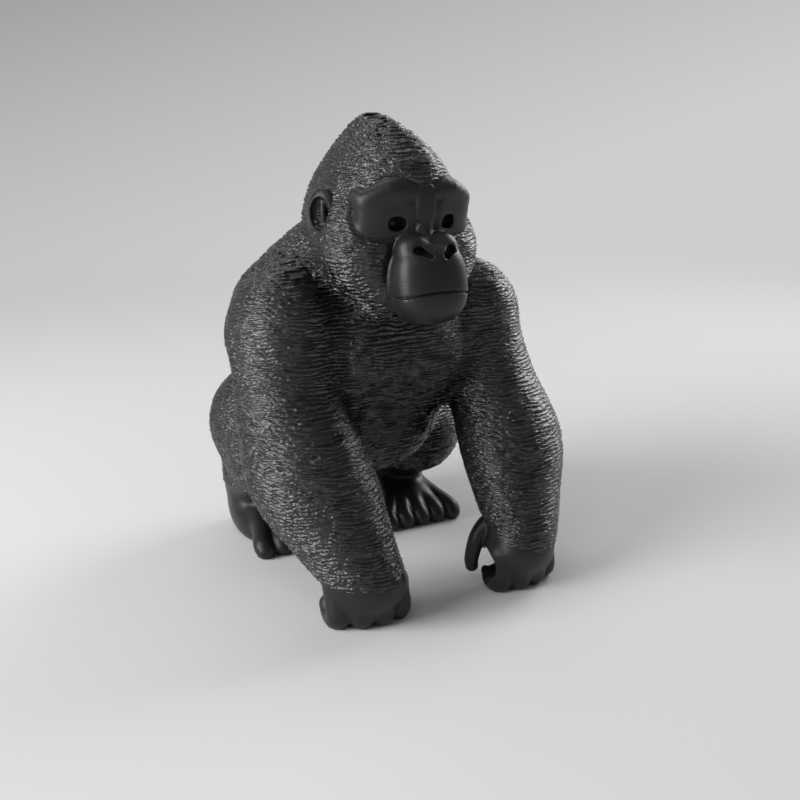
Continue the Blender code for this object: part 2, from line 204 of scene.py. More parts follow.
def limb(points, flat=(1.0, 1.0, 1.0), turn=0.0, per_span=4):
    """Round cones along a smooth curve; each point is x, y, z and the radius there.

    The distance to one cone is |p - c(t)| - r(t), with t the nearest place on its axis. Space is
    turned about Z and stretched by flat first, so that a limb can be wider one way than the other.
    """
    stretch = 1.0 / np.array(flat)
    cos_turn, sin_turn = math.cos(turn), math.sin(turn)
    curve = smooth_curve(points, per_span)
    turned = np.array([[cos_turn, sin_turn, 0], [-sin_turn, cos_turn, 0], [0, 0, 1]])
    centres = (curve[:, :3] @ turned.T * stretch).astype(np.float32)
    radii = curve[:, 3].astype(np.float32)
    shrink = np.float32(min(flat))
    cos_turn, sin_turn = np.float32(cos_turn), np.float32(sin_turn)
    stretch = stretch.astype(np.float32)

    def distance(x, y, z):
        x, y = cos_turn * x + sin_turn * y, cos_turn * y - sin_turn * x
        x, y, z = x * stretch[0], y * stretch[1], z * stretch[2]
        best = None
        for a, b, ra, rb in zip(centres[:-1], centres[1:], radii[:-1], radii[1:]):
            axis = b - a
            t = ((x - a[0]) * axis[0] + (y - a[1]) * axis[1] + (z - a[2]) * axis[2]) / (axis @ axis)
            t = np.clip(t, 0, 1)
            gap = np.sqrt((x - a[0] - t * axis[0]) ** 2 + (y - a[1] - t * axis[1]) ** 2
                          + (z - a[2] - t * axis[2]) ** 2) - (ra + t * (rb - ra))
            best = gap if best is None else np.minimum(best, gap)
        return best * shrink

    reach = curve[:, 3:4] * max(flat)
    return Shape((curve[:, :3] - reach).min(axis=0), (curve[:, :3] + reach).max(axis=0), distance)


class Clay:
    """Rounded masses joined and pressed at a list of points, as a signed distance, negative inside."""

    FAR = np.float32(0.020)
    SOFT_MIDDLE = 0.0005

    def __init__(self, x, y, z):
        self.x = np.sqrt(x * x + np.float32(self.SOFT_MIDDLE ** 2))
        self.y = y
        self.z = z
        self.field = np.full(x.shape, self.FAR, dtype=np.float32)

    def near(self, shape, soft):
        """The points that the shape can change, and its distance there."""
        margin = 1.25 * soft + 0.006
        low, high = shape.low - margin, shape.high + margin
        chosen = (self.x > low[0]) & (self.x < high[0]) & (self.y > low[1]) & (self.y < high[1])
        chosen &= (self.z > low[2]) & (self.z < high[2])
        at = np.flatnonzero(chosen)
        return at, shape.distance(self.x[at], self.y[at], self.z[at])

    def add(self, shape, soft):
        """Smooth union: min(a, b) - h^2 soft / 4, where h is how far a and b are from equal."""
        at, new = self.near(shape, soft)
        self.field[at] = -eased_max(-self.field[at], -new, soft)

    def press(self, shape, soft):
        """Smooth cut, the union's mirror image: max(a, -b) + h^2 soft / 4."""
        at, new = self.near(shape, soft)
        self.field[at] = eased_max(self.field[at], -new, soft)

    def engrave(self, shape, depth, soft):
        """Sink the surface by a depth inside a shape: max(f, min(-shape, f + depth)), eased."""
        at, new = self.near(shape, soft)
        old = self.field[at]
        self.field[at] = np.maximum(old, -eased_max(new, -old - np.float32(depth), soft))


def eased_max(a, b, soft):
    """Smooth max(a, b): max(a, b) + h^2 soft / 4, with h = 1 - |a - b| / soft, not below 0."""
    soft = np.float32(soft)
    h = np.maximum(soft - np.abs(a - b), 0) / soft
    return np.maximum(a, b) + h * h * soft / 4


# ---- The animal ----

def shape_torso(clay):
    """Chest, back, belly and rump."""
    clay.add(blob((0, 0.0130, 0.0780), (0.0350, 0.0320, 0.0290)), 0.004)
    clay.add(blob((0, 0.0240, 0.0520), (0.0300, 0.0350, 0.0265)), 0.010)
    clay.add(blob((0, 0.0460, 0.0440), (0.0300, 0.0250, 0.0270)), 0.014)
    clay.add(blob((0.0130, -0.0020, 0.0730), (0.0170, 0.0170, 0.0160)), 0.008)
    clay.add(limb([(0, 0.0145, 0.1150, 0.0198), (0, 0.0170, 0.103, 0.0215),
                   (0.010, 0.021, 0.090, 0.025)]), 0.008)


def shape_arm(clay):
    """Shoulder, upper arm, elbow, forearm and wrist along one bent centre line."""
    clay.add(blob((ARM_SPREAD - 0.0035, 0.0038, 0.0843), (0.0171, 0.0200, 0.0175)), 0.008)
    clay.add(blob((0.0270, 0.0185, 0.0880), (0.0172, 0.0190, 0.0156)), 0.006)
    clay.add(limb([(ARM_SPREAD - 0.002, 0.0010, 0.0800, 0.0138),
                   (ARM_SPREAD - 0.0015, -0.0040, 0.0700, 0.0145),
                   (ARM_SPREAD - 0.0003, -0.0108, 0.0570, 0.0148),
                   (ARM_SPREAD - 0.0007, ELBOW_Y, ELBOW_HEIGHT, 0.0165),
                   (0.0340, -0.0315, 0.0300, 0.0139),
                   (WRIST_SPREAD, WRIST_Y, WRIST_HEIGHT, 0.0111),
                   (0.0286, -0.0425, 0.0130, 0.0104)], flat=(1.18, 1.0, 1.0), turn=0.506), 0.005)


def shape_hand(clay):
    """A fist on its knuckles: palm block, four bent fingers, a thumb and the hollow between them."""
    clay.add(blob((HAND_SPREAD - 0.0008, HAND_Y, 0.0100), (0.0121, 0.0080, 0.0110)), 0.004)
    first = HAND_SPREAD - 0.5 * (FINGER_COUNT - 1) * FINGER_PITCH
    for number in range(FINGER_COUNT):
        x = first + number * FINGER_PITCH
        back = 0.0042 * ((number - 1.1) / 1.9) ** 2
        clay.add(limb([(x, KNUCKLE_Y + back + 0.0015, 0.0120, FINGER_RADIUS),
                       (x, KNUCKLE_Y + back, 0.0040, FINGER_RADIUS),
                       (x, KNUCKLE_Y + back + 0.0042, 0.0026, FINGER_RADIUS * 0.85),
                       (x, KNUCKLE_Y + back + 0.0070, 0.0050, FINGER_RADIUS * 0.75)]), 0.0010)
    clay.press(limb([(0.0100, -0.0402, 0.0080, 0.0062), (0.0180, -0.0402, 0.0080, 0.0058),
                     (0.0290, -0.0395, 0.0076, 0.0040)]), 0.0008)
    clay.press(limb([(0.0200, -0.0385, 0.0088, 0.0034), (0.0275, -0.0250, 0.0065, 0.0034)]), 0.0008)
    clay.add(limb([(0.0225, -0.0345, 0.0200, 0.0042), (0.0165, -0.0350, 0.0160, 0.0029),
                   (0.0138, -0.0355, 0.0095, 0.0024), (0.0142, -0.0350, 0.0062, 0.0022)]), 0.0010)


def shape_leg(clay):
    """Thigh, bent knee, calf and heel."""
    clay.add(blob((HIP_SPREAD, 0.0390, 0.0422), (0.0198, 0.0225, 0.0210)), 0.008)
    clay.add(limb([(0.0250, 0.0400, 0.0420, 0.0180), (KNEE_SPREAD, KNEE_Y, KNEE_HEIGHT, 0.0155)]), 0.006)
    clay.add(limb([(KNEE_SPREAD, 0.0300, 0.0310, 0.0145), (0.0290, 0.0440, 0.0190, 0.0105),
                   (HEEL_SPREAD, 0.0460, 0.0100, 0.0100)]), 0.005)
    clay.add(blob((0.0280, 0.0510, 0.0230), (0.0105, 0.0120, 0.0150)), 0.009)


def shape_foot(clay):
    """A flat foot with long toes."""
    clay.add(blob((HEEL_SPREAD, HEEL_Y, 0.0065), (0.0078, 0.0078, 0.0085)), 0.005)
    clay.add(blob((0.0270, 0.0370, 0.0050), (0.0135, 0.0170, 0.0080)), 0.005)
    first = TOE_SPREAD - 0.5 * (TOE_COUNT - 1) * TOE_PITCH
    for number in range(TOE_COUNT):
        x = first + number * TOE_PITCH
        root = HEEL_SPREAD + 0.40 * (x - HEEL_SPREAD)
        clay.add(limb([(root, 0.0400, 0.0102, 0.0036), (0.5 * (x + root), 0.0270, 0.0069, 0.0034),
                       (x, TOE_Y + 0.0055, 0.0042, TOE_RADIUS),
                       (x, TOE_Y + 0.0032, 0.0026, TOE_RADIUS * 0.96)]), 0.0012)


def shape_head(clay):
    """Skull with its pointed crest, and the jowls."""
    clay.add(blob((0, 0.0002, SKULL_HEIGHT), (0.0220, 0.0275, 0.0250)), 0.006)
    top = CREST_HEIGHT - CREST_RADIUS - 0.0002
    clay.add(limb([(0, -0.0152, 0.1275, 0.0122), (0, 0.0045, top, CREST_RADIUS),
                   (0, 0.0100, 0.1360, 0.0105), (0, 0.0160, 0.1270, 0.0120)]), 0.008)
    clay.add(limb([(0.0120, 0.0000, 0.1170, 0.0115), (0.0129, -0.0107, 0.1088, 0.0137),
                   (0.0080, -0.0160, 0.1010, 0.0110)]), 0.006)
    clay.add(blob((0, -0.0160, 0.0985), (0.0120, 0.0110, 0.0095)), 0.006)


def ear_hollow():
    """The bowl of the ear."""
    return blob((EAR_SPREAD + 0.0018, EAR_Y - 0.0012, EAR_HEIGHT - 0.0003), (0.0027, 0.0036, 0.0053),
                turn=EAR_TURN)


def shape_ear(clay):
    """A rim standing out at the back, with a hollow and an upright fold in it."""
    clay.add(blob((EAR_SPREAD, EAR_Y, EAR_HEIGHT), (0.0030, EAR_HALF_WIDTH, EAR_HALF_HEIGHT),
                  turn=EAR_TURN), 0.0012)
    clay.press(ear_hollow(), 0.0006)
    clay.add(limb([(EAR_SPREAD, EAR_Y, EAR_HEIGHT + 0.0030, 0.0009),
                   (EAR_SPREAD + 0.0004, EAR_Y - 0.0010, EAR_HEIGHT, 0.0010),
                   (EAR_SPREAD, EAR_Y - 0.0012, EAR_HEIGHT - 0.0034, 0.0009)]), 0.0008)


def face_masses():
    """The masses of bare skin on the face, each with how softly it joins."""
    return [
        (blob((0.0093, -0.0208, 0.1200), (0.0101, 0.0052, 0.0092), turn=0.27, lean=0.20, box=2.7), 0.0012),
        (limb([(0.0034, -0.0250, BROW_HEIGHT + 0.0003, 0.0030),
               (0.0100, -0.0240, BROW_HEIGHT + 0.0009, 0.0034),
               (0.0166, -0.0207, BROW_HEIGHT - 0.0018, 0.0026),
               (0.0178, -0.0170, BROW_HEIGHT - 0.0008, 0.0026)]), 0.0020),
        (blob((0, MUZZLE_Y, MUZZLE_HEIGHT), (MUZZLE_HALF_WIDTH, MUZZLE_HALF_DEPTH, MUZZLE_HALF_HEIGHT),
              lean=-0.22, box=2.6), 0.0015),
        (limb([(0, -0.0235, 0.1220, 0.0024), (0, -0.0270, 0.1140, 0.0026)]), 0.0015),
        (blob((0.0048, -0.0283, 0.1102), (0.0056, 0.0054, 0.0054)), 0.0010),
    ]


def shape_face(clay):
    """Mask, brow ridges, eye sockets, nose, nostrils, muzzle and mouth."""
    for mass, soft in face_masses():
        clay.add(mass, soft)
    clay.engrave(brow_notch(), 0.0014, 0.0005)
    clay.press(eye_socket(), 0.0006)
    clay.press(limb([(0.0027, -0.0345, 0.1084, 0.0017), (0.0053, -0.0325, 0.1101, 0.0021)]), 0.0006)
    clay.engrave(mouth_line(), 0.0009, 0.0003)


def brow_notch():
    """The upright groove between the two brows."""
    return limb([(0, -0.0270, 0.1250, 0.0009), (0, -0.0270, 0.1330, 0.0013)])


def eye_socket(grown=0.0):
    """The hollow round an eyeball."""
    return blob((EYE_SPREAD, EYE_Y - 0.0010, EYE_HEIGHT),
                (EYE_RADIUS + grown, 0.0030 + grown, EYE_RADIUS * 0.80 + grown), box=2.6)


def mouth_line():
    """A thin sheet along the lips: |z - height(x)| - half a width, cut off at the corners."""
    low = np.array((-0.002, MUZZLE_Y - 0.014, MOUTH_HEIGHT - 2 * MOUTH_DROOP))
    high = np.array((MUZZLE_HALF_WIDTH + 0.003, MUZZLE_Y + 0.004, MOUTH_HEIGHT + 0.002))

    def distance(x, y, z):
        height = MOUTH_HEIGHT - MOUTH_DROOP * (x / MUZZLE_HALF_WIDTH) ** 2
        return np.maximum(np.abs(z - height) - 0.00035, y - MUZZLE_Y)

    return Shape(low, high, distance)


def shape_furred(clay):
    """Everything that the fur grows on."""
    shape_torso(clay)
    shape_arm(clay)
    shape_leg(clay)
    shape_head(clay)
    clay.press(ear_hollow(), 0.0006)
    clay.press(eye_socket(0.0008), 0.0006)


# ---- Cuts between pieces: each is negative on the side of the piece that lies on top ----

def above_neck(x, y, z):
    """A sloping plane behind the jaw and the nape, higher away from the middle."""
    return 0.086 + 0.55 * (y + 0.022) + 0.35 * np.maximum(np.abs(x) - 0.012, 0) - z


def in_front(x, y, z):
    """A sloping plane between the chest and arms, and the belly and legs."""
    return 0.728 * (y - 0.002) - 0.686 * (z - 0.045)


def in_arm(x, y, z):
    """The arms: outside an upright seam that moves in below the chest, and all of the forearm."""
    seam = ARM_SEAM - 0.0040 * np.clip((0.078 - z) / 0.016, 0, 1)
    forearm = np.maximum(np.maximum(0.0120 - np.abs(x), y + 0.016), z - 0.056)
    return np.maximum(in_front(x, y, z), np.minimum(seam - np.abs(x), forearm))


def in_chest(x, y, z):
    """Above a plane that slopes up to the back, under the breast and over the small of the back."""
    return 0.060 + 0.30 * y - z


def in_leg(x, y, z):
    """Upright planes between the belly and the legs."""
    return LEG_SEAM - np.abs(x)


def above_wrist(x, y, z):
    """Where the fur ends above the hand: higher towards the thumb."""
    inner = np.clip((0.030 - np.abs(x)) / 0.014, 0, 1)
    return 0.0142 + 0.0042 * inner ** 1.5 - z


def above_ankle(x, y, z):
    """Where the fur ends above the foot: lower at the heel."""
    return 0.0195 - 0.10 * (y - 0.030) - z


def ends_at(field, cut):
    """The piece on top: max(field, cut)."""
    return np.maximum(field, cut)


def dips_under(field, cut):
    """The piece below: it sinks by the dip past the cut and ends an overlap further on."""
    dip = SEAM_DIP * np.clip(-cut / 0.0010, 0, 1)
    return np.maximum(field + dip, -cut - SEAM_OVERLAP)


# ---- Fur ----

def lattice_value(i, j, k, seed):
    """A number from -1 to 1 at each whole-number place: an integer hash, so the same every time."""
    with np.errstate(over="ignore"):
        h = (i.astype(np.uint32) * np.uint32(374761393) + j.astype(np.uint32) * np.uint32(668265263)
             + k.astype(np.uint32) * np.uint32(2246822519) + np.uint32(seed * 3266489917 % 2 ** 32))
        h = (h ^ (h >> np.uint32(13))) * np.uint32(1274126177)
        h = h ^ (h >> np.uint32(16))
    return (h & np.uint32(0xFFFF)).astype(np.float32) / np.float32(32767.5) - np.float32(1.0)


def value_noise(x, y, z, seed):
    """Values at the corners of unit cells, blended inside each cell with 3 t^2 - 2 t^3."""
    corners = [np.floor(axis) for axis in (x, y, z)]
    parts = [(axis - corner).astype(np.float32) for axis, corner in zip((x, y, z), corners)]
    ease = [part * part * (3 - 2 * part) for part in parts]
    i, j, k = (corner.astype(np.int32) for corner in corners)
    total = 0.0
    for a, b, c in itertools.product((0, 1), repeat=3):
        weight = ((ease[0] if a else 1 - ease[0]) * (ease[1] if b else 1 - ease[1])
                  * (ease[2] if c else 1 - ease[2]))
        total = total + weight * lattice_value(i + a, j + b, k + c, seed)
    return total


def fur_height(x, y, z, sizes):
    """Relief of the fur, in metres: sharp crests one above another that run from side to side.

    The crests are a wave up the body, 1 - 2 |sin(pi t)|, where t is the height in pitches, moved up and
    down by a noise so that crests wander, fork and end. A second noise makes them higher and lower.
    """
    length, pitch = sizes.stroke_length, sizes.stroke_pitch
    wander = value_noise(x / length, y / (0.9 * pitch), z / (1.8 * pitch), 1)
    rows = z / pitch + np.float32(CREST_WANDER) * wander
    uneven = value_noise(x / (0.6 * length), y / (1.4 * pitch), z / (1.3 * pitch), 2)
    wave = 1 - 2 * np.abs(np.sin(np.float32(math.pi) * rows))
    return np.float32(sizes.fur_depth) * (CREST_MEAN + CREST_SPREAD * uneven) * wave


# ---- From clay to mesh ----

def grid_axes(low, high, step):
    """Grid lines of a box; those across X are placed so that one falls on the middle."""
    first = [math.floor(low[0] / step[0]) * step[0], low[1], low[2]]
    return [(start + size * np.arange(int((end - start) / size) + 2)).astype(np.float32)
            for start, end, size in zip(first, high, step)]


def spread(axes, keep=None):
    """The coordinates of all the grid's points, or of those kept, as three flat arrays."""
    shape = tuple(len(axis) for axis in axes)
    if keep is None:
        return [np.broadcast_to(axis.reshape([-1 if k == n else 1 for k in range(3)]), shape).ravel()
                for n, axis in enumerate(axes)]
    places = np.unravel_index(keep, shape)
    return [axis[place] for axis, place in zip(axes, places)]


def clay_on_grid(shaper, low, high, step):
    """The clay's distance on a fine grid, worked out only near the surface.

    A coarser grid finds where the surface is. Elsewhere its nearest value stands, which has the right
    sign. The band kept is the relief and about two thirds of a coarse cell.
    """
    band = 0.0012 + 0.87 * COARSE * max(step) * 0.75
    axes = grid_axes(low, high, step)
    rough_axes = [axis[::COARSE] for axis in axes]
    x, y, z = spread(rough_axes)
    rough = Clay(np.abs(x), y, z)
    shaper(rough)
    rough = rough.field.reshape([len(axis) for axis in rough_axes])
    field = rough
    for axis, line in enumerate(axes):
        nearest = np.minimum((np.arange(len(line)) + COARSE // 2) // COARSE, rough.shape[axis] - 1)
        field = np.take(field, nearest, axis=axis)
    field = np.ascontiguousarray(field)
    keep = np.flatnonzero(np.abs(field.ravel()) < band)
    x, y, z = spread(axes, keep)
    fine = Clay(np.abs(x), y, z)
    shaper(fine)
    return axes, field, keep, (x, y, z), fine.field


def filled_pinches(field):
    """Fill grid points until the clay nowhere meets itself at an edge or a corner only."""
    just_inside = np.float32(-1e-6)
    low, high = slice(None, -1), slice(1, None)
    cube = list(itertools.product((low, high), repeat=3))
    while True:
        inside = field < 0
        fill = np.zeros_like(inside)
        for fixed in range(3):
            ends = [(low, high) if axis != fixed else (slice(None),) for axis in range(3)]
            square = list(itertools.product(*ends))
            a, b, c, d = (inside[corner] for corner in square)
            fill[square[1]] |= a & d & ~b & ~c
            fill[square[0]] |= b & c & ~a & ~d
        count = sum(inside[corner].astype(np.uint8) for corner in cube)
        for number in range(4):
            near, far = cube[number], cube[7 - number]
            fill[cube[(number + 1) % 4]] |= (count == 2) & inside[near] & inside[far]
            fill[near] |= (count == 6) & ~inside[near] & ~inside[far]
        fill &= ~inside
        if not fill.any():
            return field
        field[fill] = just_inside


def surface_net(field, axes):
    """One point in each cell that the surface crosses, and one square across each crossed edge.

    A point is the mean of the places where the cell's twelve edges cross zero.
    """
    inside = field < 0
    low, high = slice(None, -1), slice(1, None)
    count = sum(inside[corner].astype(np.uint8) for corner in itertools.product((low, high), repeat=3))
    used = (count > 0) & (count < 8)
    cells = np.argwhere(used)
    value = {at: field[tuple((cells + at).T)] for at in itertools.product((0, 1), repeat=3)}
    place = np.zeros((len(cells), 3))
    hits = np.zeros(len(cells))
    for axis in range(3):
        for at in value:
            if at[axis]:
                continue
            end = tuple(at[k] + (k == axis) for k in range(3))
            p, q = value[at], value[end]
            crossed = (p < 0) != (q < 0)
            share = np.where(crossed, p / np.where(p == q, 1, p - q), 0)
            hits += crossed
            for k in range(3):
                place[:, k] += share if k == axis else crossed * at[k]
    place = cells + place / hits[:, None]
    points = np.stack([line[0] + place[:, k] * (line[1] - line[0]) for k, line in enumerate(axes)], axis=1)
    number = np.full(used.shape, -1, dtype=np.int32)
    number[used] = np.arange(len(cells))
    faces = []
    for axis in range(3):
        order = (axis, (axis + 1) % 3, (axis + 2) % 3)
        a = inside.transpose(order)
        n = number.transpose(order)
        first, second = a[:-1, 1:-1, 1:-1], a[1:, 1:-1, 1:-1]
        ring = [n[:, :-1, :-1], n[:, 1:, :-1], n[:, 1:, 1:], n[:, :-1, 1:]]
        leaving = first & ~second
        entering = ~first & second
        faces.append(np.stack([r[leaving] for r in ring], axis=1))
        faces.append(np.stack([r[entering] for r in ring[::-1]], axis=1))
    return points, np.vstack(faces)


def mesh_piece(name, points, faces, material, share=1.0):
    """A smooth-shaded object at the origin from points in the sculpt's own frame.

    A share below 1 is how many of its triangles a Decimate modifier leaves.
    """
    points = points - np.array((0.0, FRAME_SHIFT, 0.0))
    mesh = bpy.data.meshes.new(name)
    mesh.vertices.add(len(points))
    mesh.vertices.foreach_set("co", points.astype(np.float32).ravel())
    mesh.loops.add(faces.size)
    mesh.loops.foreach_set("vertex_index", faces.astype(np.int32).ravel())
    mesh.polygons.add(len(faces))
    mesh.polygons.foreach_set("loop_start", np.arange(0, faces.size, faces.shape[1], dtype=np.int32))
    mesh.update(calc_edges=True)
    mesh.shade_smooth()
    mesh.materials.append(material)
    piece = bpy.data.objects.new(name, mesh)
    bpy.context.scene.collection.objects.link(piece)
    if share < 1.0:
        thin = piece.modifiers.new("thin", "DECIMATE")
        thin.ratio = share
    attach(piece, "root")
    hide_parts("gorilla")
    return piece


def carve(name, shaper, low, high, step, cuts, material, fur=None, bare=None):
    """One closed piece: clay on a grid, fur carved into it, cut off from its neighbours, then meshed.

    The relief lowers or raises the distance: f - (lift + fur height). Where bare is negative the fur
    sinks under the skin. The grid's outermost points are kept outside, so that the mesh is closed.
    """
    axes, field, keep, (x, y, z), near = clay_on_grid(shaper, low, high, step)
    if fur:
        grown = np.float32(fur.fur_lift) + fur_height(x, y, z, fur)
        if bare:
            furred = np.clip(bare(x, y, z) / np.float32(BARE_FADE), 0, 1)
            grown = furred * grown - (1 - furred) * np.float32(BARE_SINK)
        near = near - grown
    field.ravel()[keep] = near
    grid_x, grid_y, grid_z = (axis.reshape([-1 if k == n else 1 for k in range(3)])
                              for n, axis in enumerate(axes))
    for join, cut in cuts:
        field = join(field, cut(grid_x, grid_y, grid_z)).astype(np.float32)
    field = eased_max(field, np.broadcast_to(-grid_z, field.shape), 0.0006)
    for axis in range(3):
        for end in (0, -1):
            edge = [slice(None)] * 3
            edge[axis] = end
            field[tuple(edge)] = np.maximum(field[tuple(edge)], np.float32(0.0001))
    points, faces = surface_net(filled_pinches(field), axes)
    return mesh_piece(name, points, faces, material, FUR_SHARE if fur else SKIN_SHARE)


def both_sides(name, low, high, **settings):
    """The same piece on the left and on the right, each with its own fur."""
    left = carve(name + "_left", low=low, high=high, **settings)
    right = carve(name + "_right", low=(-high[0], low[1], low[2]), high=(-low[0], high[1], high[2]),
                  **settings)
    return left, right


# ---- Materials ----

class Value:
    """A number socket that takes part in Python arithmetic by adding Math nodes."""

    def __init__(self, tree, socket):
        self.tree = tree
        self.socket = socket

    def _with(self, operation, first, second):
        return self.tree.add("ShaderNodeMath", {"operation": operation}, {0: first, 1: second})

    def __add__(self, other):
        return self._with("ADD", self, other)

    def __radd__(self, other):
        return self._with("ADD", other, self)

    def __sub__(self, other):
        return self._with("SUBTRACT", self, other)

    def __rsub__(self, other):
        return self._with("SUBTRACT", other, self)

    def __mul__(self, other):
        return self._with("MULTIPLY", self, other)

    def __rmul__(self, other):
        return self._with("MULTIPLY", other, self)


class Tree:
    """A material's node tree, cleared, with one method that adds any node."""

    def __init__(self, name):
        self.material = bpy.data.materials.new(name)
        self.material.use_nodes = True
        self.nodes = self.material.node_tree.nodes
        self.links = self.material.node_tree.links
        self.nodes.clear()

    def add(self, kind, settings=None, inputs=None, output=0):
        """Adds a node: its settings first, then a value or a link for each socket."""
        node = self.nodes.new(kind)
        for name, value in (settings or {}).items():
            setattr(node, name, value)
        for key, value in (inputs or {}).items():
            socket = node.inputs[key]
            if isinstance(value, Value):
                self.links.new(value.socket, socket)
            else:
                socket.default_value = value
        return Value(self, node.outputs[output]) if node.outputs else None


def toned(colour, share):
    """The same colour, lighter or darker."""
    return tuple(share * part for part in colour[:3]) + (1.0,)


def black_plastic(name, colour, roughness, gloss, grain_size, grain, layers):
    """Black printed plastic: faint print layers, grain, and a little variation of tone and gloss.

    The grain is a noise squeezed by grain_size along X, Y and Z, so that on the fur it runs sideways.
    """
    tree = Tree(name)
    place = tree.add("ShaderNodeTexCoord", output="Object")
    squeezed = tree.add("ShaderNodeVectorMath", {"operation": "MULTIPLY"}, {0: place, 1: grain_size})
    cloudy = tree.add("ShaderNodeTexNoise", inputs={"Vector": place, "Scale": 60.0, "Detail": 3.0})
    fine = tree.add("ShaderNodeTexNoise", inputs={"Vector": squeezed, "Scale": 1.0, "Detail": 2.0})
    lines = tree.add("ShaderNodeTexWave", {"wave_type": "BANDS", "bands_direction": "Z"},
                     {"Vector": place, "Scale": 780.0, "Distortion": 0.6, "Detail": 1.0,
                      "Detail Scale": 0.3}, output="Fac")
    tone = tree.add("ShaderNodeMix", {"data_type": "RGBA"},
                    {0: cloudy, 6: toned(colour, 0.80), 7: toned(colour, 1.25)}, output=2)
    bump = tree.add("ShaderNodeBump", inputs={"Strength": 1.0, "Distance": 0.0001,
                                              "Height": fine * grain + lines * layers})
    shader = tree.add("ShaderNodeBsdfPrincipled", inputs={
        "Base Color": tone, "Roughness": roughness + (cloudy - 0.5) * 0.16 + (fine - 0.5) * 0.12,
        "Normal": bump, "Specular IOR Level": gloss, "Metallic": 0.0})
    tree.add("ShaderNodeOutputMaterial", inputs={"Surface": shader})
    tree.material.diffuse_color = toned(colour, 1.0)
    return tree.material


def fur_plastic(colours):
    """The plastic on the carved fur. Its colour is set darker than the skin's, though the figure is one
    plastic:
    painted shade for the shade held in the fur's valleys.
    """
    found = bpy.data.materials.get("black_plastic_fur")
    return found or black_plastic("black_plastic_fur", colours.fur, colours.fur_roughness,
                                  colours.fur_gloss, (500.0, 1500.0, 1900.0), grain=3.5, layers=0.2)


def skin_plastic(colours):
    """The plastic as it looks on smooth skin."""
    found = bpy.data.materials.get("black_plastic_skin")
    return found or black_plastic("black_plastic_skin", colours.skin, colours.skin_roughness,
                                  colours.skin_gloss, (1900.0, 1900.0, 1900.0), grain=0.2, layers=0.25)


# ---- Sizes and colours ----

def length_setting(name, value, description):
    """A length that a user can set."""
    return bpy.props.FloatProperty(name=name, description=description, default=value, unit="LENGTH")


def number_setting(name, value, description):
    """A plain number, not negative, that a user can set."""
    return bpy.props.FloatProperty(name=name, description=description, default=value, min=0.0)


def colour_setting(name, value, description):
    """A colour that a user can set."""
    return bpy.props.FloatVectorProperty(name=name, description=description, default=value + (1.0,),
                                         size=4, subtype="COLOR", min=0.0, max=1.0)


class GorillaSizes(bpy.types.PropertyGroup):
    """Sizes that a user would change."""

    stroke_length: length_setting("Stroke length", 0.0045, "Length of a fur stroke from side to side")
    stroke_pitch: length_setting("Stroke pitch", 0.00120, "Height from one fur stroke to the next")
    fur_depth: length_setting("Fur depth", 0.00046, "Half the height of the fur's relief")
    fur_lift: length_setting("Fur lift", 0.00014, "How far the fur's middle stands over the body")
    eyeball: length_setting("Eyeball", 0.0022, "Radius of an eyeball")


class GorillaColours(bpy.types.PropertyGroup):
    """Colours and gloss that a user would change."""

    # The fur's colour is darker than the skin's, though both are the same plastic: painted shade for the
    # shade that the carved fur holds.
    fur: colour_setting("Fur", (0.0085, 0.0088, 0.0093), "Plastic on the fur")
    skin: colour_setting("Skin", (0.0150, 0.0158, 0.0170), "Plastic on bare skin")
    fur_roughness: number_setting("Fur roughness", 0.22, "Roughness on the fur")
    skin_roughness: number_setting("Skin roughness", 0.36, "Roughness on bare skin")
    fur_gloss: number_setting("Fur gloss", 0.80, "How strongly the fur reflects")
    skin_gloss: number_setting("Skin gloss", 0.35, "How strongly bare skin reflects")


class GorillaStage(bpy.types.PropertyGroup):
    """The room round the figure."""

    left_power: number_setting("Left light", 9.5, "Power of the left panel")
    right_power: number_setting("Right light", 3.8, "Power of the right panel")
    front_power: number_setting("Front light", 0.7, "Power of the front panel")
    top_power: number_setting("Top light", 1.3, "Power of the top panel")
    room: number_setting("Room light", 0.18, "Strength of the world")
    floor: colour_setting("Floor", (0.78, 0.78, 0.78), "Floor near the figure")
    # Far floor and Wall are tones of a glow that the camera and the reflections see. Wall is the darker
    # one, painted shade at the top of the picture.
    far: colour_setting("Far floor", (0.62, 0.62, 0.62), "Floor and wall far off")
    high: colour_setting("Wall", (0.37, 0.37, 0.37), "Wall at the top of the picture")


# ---- Operators ----

class GORILLA_OT_head_fur(bpy.types.Operator):
    """Carves the furred head and nape."""

    bl_idname = "gorilla.head_fur"
    bl_label = "Head fur"

    def execute(self, context):
        scene = context.scene
        carve("head_fur", shape_furred, (-0.030, -0.034, 0.082), (0.030, 0.046, 0.153), FUR_STEP,
              [(ends_at, above_neck)], fur_plastic(scene.gorilla_colours), scene.gorilla_sizes,
              bare_face)
        return {"FINISHED"}


class GORILLA_OT_trunk(bpy.types.Operator):
    """Carves the chest and back, and the belly and rump."""

    bl_idname = "gorilla.trunk"
    bl_label = "Trunk"

    def execute(self, context):
        scene = context.scene
        material = fur_plastic(scene.gorilla_colours)
        seam = ARM_SEAM + SEAM_OVERLAP + 0.002
        carve("chest", shape_furred, (-seam, -0.026, 0.046), (seam, 0.056, 0.122), FUR_STEP,
              [(dips_under, above_neck), (dips_under, in_arm), (ends_at, in_chest)],
              material, scene.gorilla_sizes)
        seam = LEG_SEAM + SEAM_OVERLAP + 0.002
        carve("belly", shape_furred, (-seam, -0.024, 0.014), (seam, 0.076, 0.084), FUR_STEP,
              [(dips_under, in_leg), (dips_under, in_chest)], material, scene.gorilla_sizes)
        return {"FINISHED"}


